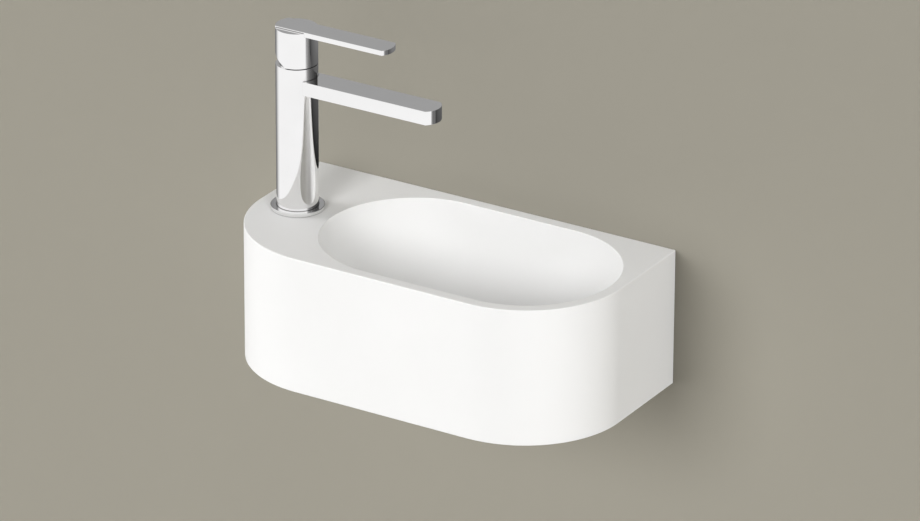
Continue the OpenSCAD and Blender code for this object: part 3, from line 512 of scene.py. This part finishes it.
def smoothing_group():
    """Node group that shades smooth and keeps the edges that turn by more than 35 degrees sharp."""
    group = bpy.data.node_groups.new("smooth_by_angle", "GeometryNodeTree")
    group.interface.new_socket("Geometry", in_out="INPUT", socket_type="NodeSocketGeometry")
    group.interface.new_socket("Geometry", in_out="OUTPUT", socket_type="NodeSocketGeometry")
    start, end = group.nodes.new("NodeGroupInput"), group.nodes.new("NodeGroupOutput")
    faces, edges = (group.nodes.new("GeometryNodeSetShadeSmooth") for _ in range(2))
    faces.domain, edges.domain = "FACE", "EDGE"
    angle = group.nodes.new("GeometryNodeInputMeshEdgeAngle")
    small = group.nodes.new("FunctionNodeCompare")
    small.operation = "LESS_THAN"
    small.inputs["B"].default_value = math.radians(35)
    links = group.links
    links.new(start.outputs[0], faces.inputs["Geometry"])
    links.new(faces.outputs[0], edges.inputs["Geometry"])
    links.new(angle.outputs["Unsigned Angle"], small.inputs["A"])
    links.new(small.outputs["Result"], edges.inputs["Shade Smooth"])
    links.new(edges.outputs[0], end.inputs[0])
    return group


smooth_by_angle = smoothing_group()
replaced = {node for _, _, node, _ in PIECES}
for name, obj in nodes.items():
    if name in replaced:
        continue
    weld = obj.modifiers.new("weld", "WELD")
    weld.merge_threshold = 1e-6
    bevel = obj.modifiers.new("edges", "BEVEL")
    bevel.width, bevel.segments, bevel.limit_method = BEVELS.get(name, 0.12) * MM, 2, "ANGLE"
    bevel.angle_limit = math.radians(40)
    obj.modifiers.new("smooth", "NODES").node_group = smooth_by_angle
    normals = obj.modifiers.new("normals", "WEIGHTED_NORMAL")
    normals.keep_sharp = True


# Materials
class Shader:
    """A node material built around one Principled shader."""

    def __init__(self, name, **sockets):
        self.mat = bpy.data.materials.new(name)
        self.mat.use_nodes = True
        self.tree = self.mat.node_tree
        self.bsdf = self.tree.nodes["Principled BSDF"]
        for key, value in sockets.items():
            self.bsdf.inputs[key.replace("_", " ")].default_value = value
        self.place = self.add("TexCoord").outputs["Object"]

    def add(self, kind, **props):
        node = self.tree.nodes.new("ShaderNode" + kind)
        for key, value in props.items():
            setattr(node, key, value)
        return node

    def link(self, a, b):
        self.tree.links.new(a, b)

    def noise(self, scale, detail, stretch=None):
        tex = self.add("TexNoise")
        for key, value in (("Scale", scale), ("Detail", detail), ("Roughness", 0.5)):
            tex.inputs[key].default_value = value
        if stretch:
            mapping = self.add("Mapping")
            mapping.inputs["Scale"].default_value = stretch
            self.link(self.place, mapping.inputs["Vector"])
            self.link(mapping.outputs["Vector"], tex.inputs["Vector"])
        else:
            self.link(self.place, tex.inputs["Vector"])
        return tex.outputs["Fac"]

    def span(self, value, low, high, out_low, out_high):
        node = self.add("MapRange")
        for key, v in (("From Min", low), ("From Max", high), ("To Min", out_low), ("To Max", out_high)):
            node.inputs[key].default_value = v
        self.link(value, node.inputs["Value"])
        return node.outputs["Result"]

    def colours(self, value, *stops):
        node = self.add("ValToRGB")
        ramp = node.color_ramp
        for i, (at, colour) in enumerate(stops):
            stop = ramp.elements[i] if i < 2 else ramp.elements.new(at)
            stop.position, stop.color = at, (*colour, 1)
        self.link(value, node.inputs["Fac"])
        self.link(node.outputs["Color"], self.bsdf.inputs["Base Color"])
        return node.outputs["Color"]

    def paint_shade_in_gaps(self, colour, reach_mm, darkest):
        """Paints shade into the colour: lets less of it through where other surfaces stand closer than the
        reach, by ambient occlusion.
        """
        open_sky = self.add("AmbientOcclusion")
        open_sky.inputs["Distance"].default_value = reach_mm * MM
        product = self.add("MixRGB", blend_type="MULTIPLY")
        product.inputs["Fac"].default_value = 1.0
        self.link(colour, product.inputs[1])
        self.link(self.span(open_sky.outputs["AO"], 0.3, 0.85, darkest, 1.0), product.inputs[2])
        self.link(product.outputs["Color"], self.bsdf.inputs["Base Color"])

    def rough(self, value, low, high, out_low, out_high):
        self.link(self.span(value, low, high, out_low, out_high), self.bsdf.inputs["Roughness"])

    def bump(self, value, depth_mm, strength):
        node = self.add("Bump")
        node.inputs["Strength"].default_value = strength
        node.inputs["Distance"].default_value = depth_mm * MM
        self.link(value, node.inputs["Height"])
        self.link(node.outputs["Normal"], self.bsdf.inputs["Normal"])


def set_greys(ramp, low, high, stops):
    """Fills a colour ramp. Each stop is a place between low and high, and a grey. End stops come first."""
    for i, (at, grey) in enumerate(stops):
        place = (at - low) / (high - low)
        stop = ramp.elements[i] if i < 2 else ramp.elements.new(place)
        stop.position, stop.color = place, (grey, grey, grey, 1)


def steps_of_grey(shader, value, low, high, stops):
    """Greys along a value of a material that runs from low to high, in metres."""
    node = shader.add("ValToRGB")
    set_greys(node.color_ramp, low, high, stops)
    shader.link(shader.span(value, low, high, 0, 1), node.inputs["Fac"])
    return node.outputs["Color"]


def glaze():
    s = Shader("matt_glaze", Specular_IOR_Level=0.35)
    s.colours(s.noise(9, 4), (0.3, (0.79, 0.789, 0.784)), (0.7, (0.81, 0.809, 0.806)))
    s.rough(s.noise(220, 4), 0.3, 0.7, 0.42, 0.52)
    s.bump(s.noise(1400, 2), 0.012, 0.5)
    return s.mat


def chrome():
    s = Shader("polished_chrome", Metallic=1.0)
    tint = s.colours(s.noise(25, 3), (0.3, (0.875, 0.87, 0.87)), (0.7, (0.91, 0.905, 0.905)))
    # Painted shade: the chrome's colour is darkened by ambient occlusion in seams and narrow gaps between
    # parts.
    s.paint_shade_in_gaps(tint, 1.5, 0.02)
    s.rough(s.noise(160, 5), 0.35, 0.75, 0.035, 0.075)
    s.bump(s.noise(60, 2), 0.01, 0.15)
    return s.mat


def metal(name, low, high, rough, grain=(1, 1, 1)):
    scale = 700
    s = Shader(name, Metallic=1.0)
    s.colours(s.noise(60, 4), (0.3, low), (0.7, high))
    s.rough(s.noise(scale, 4, stretch=grain), 0.3, 0.7, rough[0], rough[1])
    s.bump(s.noise(scale, 3, stretch=grain), 0.01, 0.35)
    return s.mat


def plain(name, low, high, rough, scale=900, depth=0.02):
    s = Shader(name, Specular_IOR_Level=0.4)
    s.colours(s.noise(45, 4), (0.3, low), (0.7, high))
    s.rough(s.noise(240, 3), 0.3, 0.7, rough[0], rough[1])
    s.bump(s.noise(scale, 3), depth, 0.5)
    return s.mat


MATERIALS = {
    "basin": glaze(),
    "chrome": chrome(),
    "brass": metal("machined_brass", (0.6, 0.44, 0.2), (0.72, 0.55, 0.27), (0.22, 0.36), (1, 1, 14)),
    "zinc_steel": metal("zinc_plate", (0.52, 0.53, 0.55), (0.66, 0.66, 0.64), (0.25, 0.42)),
    "rubber": plain("black_rubber", (0.018, 0.018, 0.019), (0.032, 0.032, 0.033), (0.55, 0.7)),
    "white_plastic": plain("natural_plastic", (0.72, 0.72, 0.69), (0.78, 0.78, 0.755), (0.38, 0.5),
                           1200, 0.01),
    "grey_plastic": plain("grey_plastic", (0.15, 0.16, 0.175), (0.19, 0.2, 0.215), (0.4, 0.52), 1200, 0.01),
    "disc_ceramic": plain("lapped_ceramic", (0.74, 0.68, 0.56), (0.8, 0.74, 0.63), (0.18, 0.26),
                          1500, 0.004),
}
slots = {row["node"]: row["material_slot"] for row in frame["record"]["subparts"]}
for name, obj in nodes.items():
    for slot in obj.material_slots:
        slot.material = MATERIALS[slots[name]]
for piece, body, node, slot in PIECES:
    piece.data.materials.clear()
    piece.data.materials.append(MATERIALS[slot])


# Room, light and camera
def sheet(name, corners, colour, painted_mirror_image=None):
    """A one-sided sheet of the room: it can't be seen, and throws no shadow, from behind.
    The last argument, if given, makes what metal shows of it: a painted reflection that glows for mirror rays
    alone."""
    obj = make(name, corners, [(0, 1, 2, 3)])
    s = Shader(name, Roughness=0.9, Specular_IOR_Level=0.1)
    lighter = tuple(c * 1.01 for c in colour)
    s.colours(s.noise(6, 3), (0.3, colour), (0.7, lighter))
    s.bump(s.noise(400, 3), 0.05, 0.1)
    clear, mix = s.add("BsdfTransparent"), s.add("MixShader")
    s.link(s.add("NewGeometry").outputs["Backfacing"], mix.inputs["Fac"])
    front = s.bsdf.outputs["BSDF"]
    # Mirror rays see the painted reflection in place of the sheet.
    if painted_mirror_image:
        pick = s.add("MixShader")
        s.link(s.add("LightPath").outputs["Is Glossy Ray"], pick.inputs["Fac"])
        s.link(front, pick.inputs[1])
        s.link(painted_mirror_image(s), pick.inputs[2])
        front = pick.outputs["Shader"]
    s.link(front, mix.inputs[1])
    s.link(clear.outputs["BSDF"], mix.inputs[2])
    s.link(mix.outputs["Shader"], s.tree.nodes["Material Output"].inputs["Surface"])
    obj.data.materials.append(s.mat)
    return obj


def painted_wall_in_metal(shader):
    """Painted reflection of the wall, a glow that metal alone sees: painted shade makes it darkest round the
    basin, a painted lighter patch stands by the tap, and it gives way to the studio above the tap.
    """
    place = shader.add("SeparateXYZ")
    shader.link(shader.place, place.inputs[0])
    # Painted shade: darkest at the deck, lighter upwards.
    painted_shade_upwards = steps_of_grey(shader, place.outputs["Z"], 0.06, 0.3,
                            [(0.06, 0.01), (0.22, 0.26), (0.1, 0.065), (0.13, 0.1),
                             (0.16, 0.15), (0.175, 0.2)])
    # Painted reflection: a lighter patch by the tap, between 101 and 124 mm up; near_tap says where it
    # stands.
    painted_patch_by_tap = steps_of_grey(shader, place.outputs["Z"], 0.06, 0.3,
                           [(0.06, 0.01), (0.22, 0.26), (0.09, 0.06), (0.101, 0.32),
                            (0.124, 0.32), (0.14, 0.11)])
    near_tap = steps_of_grey(shader, place.outputs["X"], -0.3, 0.0,
                             [(-0.235, 0.0), (-0.14, 0.0), (-0.216, 1.0), (-0.16, 1.0)])
    # Painted shade: dark across the basin's width, lighter further to the left.
    painted_shade_sideways = steps_of_grey(shader, place.outputs["X"], -2.0, 0.5,
                             [(-2.0, 0.8), (0.25, 0.17), (-1.0, 0.67), (-0.43, 0.33), (-0.233, 0.13),
                              (-0.172, 0.012), (0.172, 0.012)])
    above_deck, lighter = shader.add("MixRGB"), shader.add("MixRGB", blend_type="LIGHTEN")
    shader.link(near_tap, above_deck.inputs["Fac"])
    shader.link(painted_shade_upwards, above_deck.inputs[1])
    shader.link(painted_patch_by_tap, above_deck.inputs[2])
    lighter.inputs["Fac"].default_value = 1.0
    shader.link(above_deck.outputs["Color"], lighter.inputs[1])
    shader.link(painted_shade_sideways, lighter.inputs[2])
    glow, clear, above = shader.add("Emission"), shader.add("BsdfTransparent"), shader.add("MixShader")
    shader.link(lighter.outputs["Color"], glow.inputs["Color"])
    shader.link(shader.span(place.outputs["Z"], 0.195, 0.215, 0, 1), above.inputs["Fac"])
    shader.link(glow.outputs["Emission"], above.inputs[1])
    shader.link(clear.outputs["BSDF"], above.inputs[2])
    return above.outputs["Shader"]


HALF_W, ROOM_D, WALL_Y, FLOOR_Z, CEILING_Z = 4000, -6000, 0.2, -900, 3000
# The wall, whose image in the metal is a painted reflection with painted shade round the basin.
wall = sheet("wall", [(-HALF_W, WALL_Y, FLOOR_Z), (HALF_W, WALL_Y, FLOOR_Z),
                      (HALF_W, WALL_Y, CEILING_Z), (-HALF_W, WALL_Y, CEILING_Z)],
             (0.315, 0.298, 0.252), painted_wall_in_metal)
floor = sheet("floor", [(-HALF_W, ROOM_D, FLOOR_Z), (HALF_W, ROOM_D, FLOOR_Z),
                        (HALF_W, WALL_Y, FLOOR_Z), (-HALF_W, WALL_Y, FLOOR_Z)], (0.72, 0.71, 0.69))
floor.visible_glossy = False

world = bpy.data.worlds.new("studio")
bpy.context.scene.world = world
world.use_nodes = True
tree = world.node_tree


def world_node(kind, **props):
    node = tree.nodes.new("ShaderNode" + kind)
    for key, value in props.items():
        setattr(node, key, value)
    return node


def fade(value, low, high):
    """Runs smoothly from 0 to 1 as the value goes from low to high."""
    node = world_node("MapRange", interpolation_type="SMOOTHSTEP")
    for key, v in (("From Min", low), ("From Max", high)):
        node.inputs[key].default_value = v
    tree.links.new(value, node.inputs["Value"])
    return node.outputs["Result"]


def blended(by, first, second):
    """A colour that goes from the first to the second; each is a number triple or a socket."""
    node = world_node("MixRGB")
    tree.links.new(by, node.inputs["Fac"])
    for socket, value in zip(node.inputs[1:], (first, second)):
        if isinstance(value, tuple):
            socket.default_value = (*value, 1)
        else:
            tree.links.new(value, socket)
    return node.outputs["Color"]


def greys(value, *stops):
    """Greys along one part of a direction, from -1 to 1."""
    node, along = world_node("ValToRGB"), world_node("MapRange")
    set_greys(node.color_ramp, -1, 1, stops)
    along.inputs["From Min"].default_value, along.inputs["From Max"].default_value = -1, 1
    tree.links.new(value, along.inputs["Value"])
    tree.links.new(along.outputs["Result"], node.inputs["Fac"])
    return node.outputs["Color"]


# The studio that the metal shows: a white front, a dark wall side, and a ceiling that is a little darker
direction = world_node("SeparateXYZ")
tree.links.new(world_node("TexCoord").outputs["Generated"], direction.inputs[0])
across, towards_wall, height = direction.outputs
left_low = greys(towards_wall, (-0.2, 1.0), (0.62, 0.13), (-0.08, 0.91), (0.1, 0.67), (0.27, 0.33))
left_high = greys(towards_wall, (-0.2, 1.0), (0.8, 0.365), (-0.08, 0.91), (0.1, 0.67), (0.27, 0.4))
right_low = greys(towards_wall, (-0.17, 1.0), (0.57, 0.13), (-0.12, 0.65), (-0.06, 0.28), (0.3, 0.18))
right_high = greys(towards_wall, (-0.14, 1.0), (0.85, 0.04), (-0.08, 0.75), (-0.03, 0.47), (0.06, 0.32),
                   (0.15, 0.22), (0.31, 0.14), (0.5, 0.1))
upper = fade(height, -0.4, 0.4)
left, right = blended(upper, left_low, left_high), blended(upper, right_low, right_high)
sides = blended(fade(across, -0.12, 0.12), left, right)
overhead = fade(height, 0.5, 0.95)
shown = world_node("Background")
tree.links.new(blended(overhead, sides, (0.6, 0.6, 0.6)), shown.inputs["Color"])
ambient = tree.nodes["Background"]
ambient.inputs["Color"].default_value = (1.0, 1.0, 1.0, 1)
ambient.inputs["Strength"].default_value = 0.12
ray = world_node("LightPath")
seen, mix = world_node("Math", operation="MAXIMUM"), world_node("MixShader")
tree.links.new(ray.outputs["Is Camera Ray"], seen.inputs[0])
tree.links.new(ray.outputs["Is Glossy Ray"], seen.inputs[1])
tree.links.new(seen.outputs[0], mix.inputs["Fac"])
tree.links.new(ambient.outputs["Background"], mix.inputs[1])
tree.links.new(shown.outputs["Background"], mix.inputs[2])
tree.links.new(mix.outputs["Shader"], tree.nodes["World Output"].inputs["Surface"])


def group(name, obj, state="INCLUDE"):
    """A collection of one object, for the lamps' light and shadow links."""
    made = bpy.data.collections.new(name)
    made.objects.link(obj)
    made.collection_objects[0].light_linking.link_state = state
    return made


# Each lamp has degrees to the right of straight in front, degrees above the horizon, strength and softness in
# degrees. wall_light is for the wall alone, and the others are for the washbasin and the floor. rear_fill
# lights the washbasin's back through the wall.
LAMPS = {
    "key": (5, 22, 1.9, 22),
    "left_low": (-75, 8, 1.6, 22),
    "left_high": (-75, 52, 0.62, 22),
    "right_low": (80, 8, 0.78, 22),
    "right_high": (55, 28, 0.82, 22),
    "rear_fill": (180, -9, 1.4, 4),
    "wall_light": (-17, 11, 2.7, 42),
}
on_object = group("on_object", wall, "EXCLUDE")
on_wall = group("on_wall", wall)
from_basin = group("from_basin", basin)
for name, (azimuth, elevation, energy, angle) in LAMPS.items():
    lamp = bpy.data.lights.new(name, "SUN")
    lamp.energy, lamp.angle = energy, math.radians(angle)
    lamp_obj = bpy.data.objects.new(name, lamp)
    a, e = math.radians(azimuth), math.radians(elevation)
    shines = Vector((-math.sin(a) * math.cos(e), math.cos(a) * math.cos(e), -math.sin(e)))
    lamp_obj.rotation_mode = "QUATERNION"
    lamp_obj.rotation_quaternion = shines.to_track_quat("-Z", "Y")
    lamp_obj.visible_glossy = False
    lamp_obj.light_linking.receiver_collection = on_wall if name == "wall_light" else on_object
    if name == "wall_light":
        lamp_obj.light_linking.blocker_collection = from_basin
    if name == "rear_fill":
        lamp_obj.light_linking.blocker_collection = on_object
    bpy.context.scene.collection.objects.link(lamp_obj)

camera = bpy.data.cameras.new("camera")
camera.lens, camera.sensor_width = 246.58, 36.0
camera.clip_start, camera.clip_end = 0.1, 50.0
camera_obj = bpy.data.objects.new("camera", camera)
camera_right = (0.85321653, 0.52153777, 0.0044612)
camera_up = (-0.21740219, 0.34786083, 0.91199185)
camera_back = (0.47408632, -0.7790964, 0.41018406)
camera_at = (2.4621, -4.1016, 2.1609)
camera_obj.matrix_world = Matrix([*zip(camera_right, camera_up, camera_back, camera_at), (0, 0, 0, 1)])
bpy.context.scene.collection.objects.link(camera_obj)
bpy.context.scene.camera = camera_obj
bpy.context.scene.view_settings.view_transform = "Standard"
